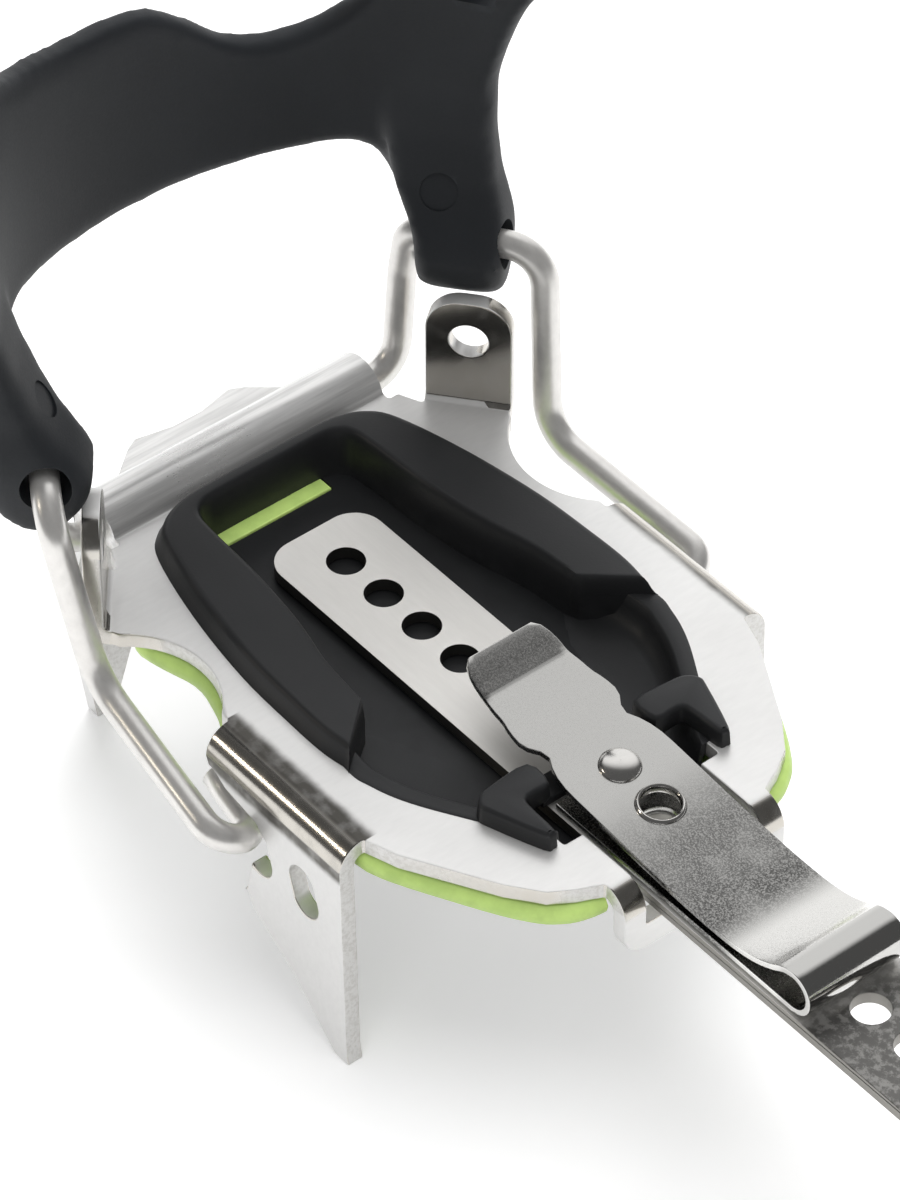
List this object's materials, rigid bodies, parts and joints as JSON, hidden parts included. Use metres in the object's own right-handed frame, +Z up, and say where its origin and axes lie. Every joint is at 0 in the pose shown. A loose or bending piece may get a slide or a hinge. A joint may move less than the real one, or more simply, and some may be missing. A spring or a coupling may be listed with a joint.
{
  "type": "strap crampon",
  "caption": "Strap crampon: steel heel and toe frames on an adjustable centre bar, with anti-ball inserts, wire bails and elastomer cradles.",
  "frame": {"origin": "middle of the length and width, on the floor under the tooth tips", "axes": "+X towards the toe, +Y to the wearer's left, +Z up"},
  "size_m": [0.3229, 0.099, 0.115],
  "materials": {
    "frame_steel": "satin",
    "bar_steel": "satin",
    "spring_steel": "satin",
    "wire_steel": "satin",
    "fastener_steel": "satin",
    "black_plastic": "matte",
    "green_plastic": "satin",
    "elastomer": "matte"
  },
  "bodies": {
    "heel": {"heel_frame": "frame_steel", "heel_insert": "black_plastic", "heel_shell": "green_plastic", "heel_bail": "wire_steel", "adjuster_leaf": "spring_steel"},
    "heel_cradle": {"heel_cradle": "elastomer"},
    "lever": {"adjuster_lever": "spring_steel", "lever_stud": "fastener_steel"},
    "bar": {"centre_bar": "bar_steel"},
    "toe": {"toe_frame": "frame_steel", "toe_insert": "black_plastic", "toe_shell": "green_plastic", "hinge_bolt": "fastener_steel", "hinge_nut": "fastener_steel", "hinge_washers": "fastener_steel"},
    "toe_bail": {"toe_bail": "wire_steel", "toe_cradle": "elastomer"}
  },
  "joints": [
    {"name": "bar_slide", "type": "slide", "parent": "heel", "child": "bar", "axis": [1, 0, 0], "range_m": [-0.008, 0.024]},
    {"name": "lever_lift", "type": "hinge", "parent": "heel", "child": "lever", "pos_m": [-0.01668, 0, 0.03905], "axis": [0, 1, 0], "range_deg": [-2.7, 12]},
    {"name": "heel_cradle_tip", "type": "hinge", "parent": "heel", "child": "heel_cradle", "pos_m": [-0.13284, 0, 0.0616], "axis": [0, 1, 0], "range_deg": [-6, 6]},
    {"name": "toe_fold", "type": "hinge", "parent": "bar", "child": "toe", "pos_m": [0.04522, 0, 0.03225], "axis": [0, 1, 0], "range_deg": [-10, 40]},
    {"name": "toe_bail_swing", "type": "hinge", "parent": "toe", "child": "toe_bail", "pos_m": [0.10722, 0, 0.028], "axis": [0, 1, 0], "range_deg": [-15, 20]}
  ]
}
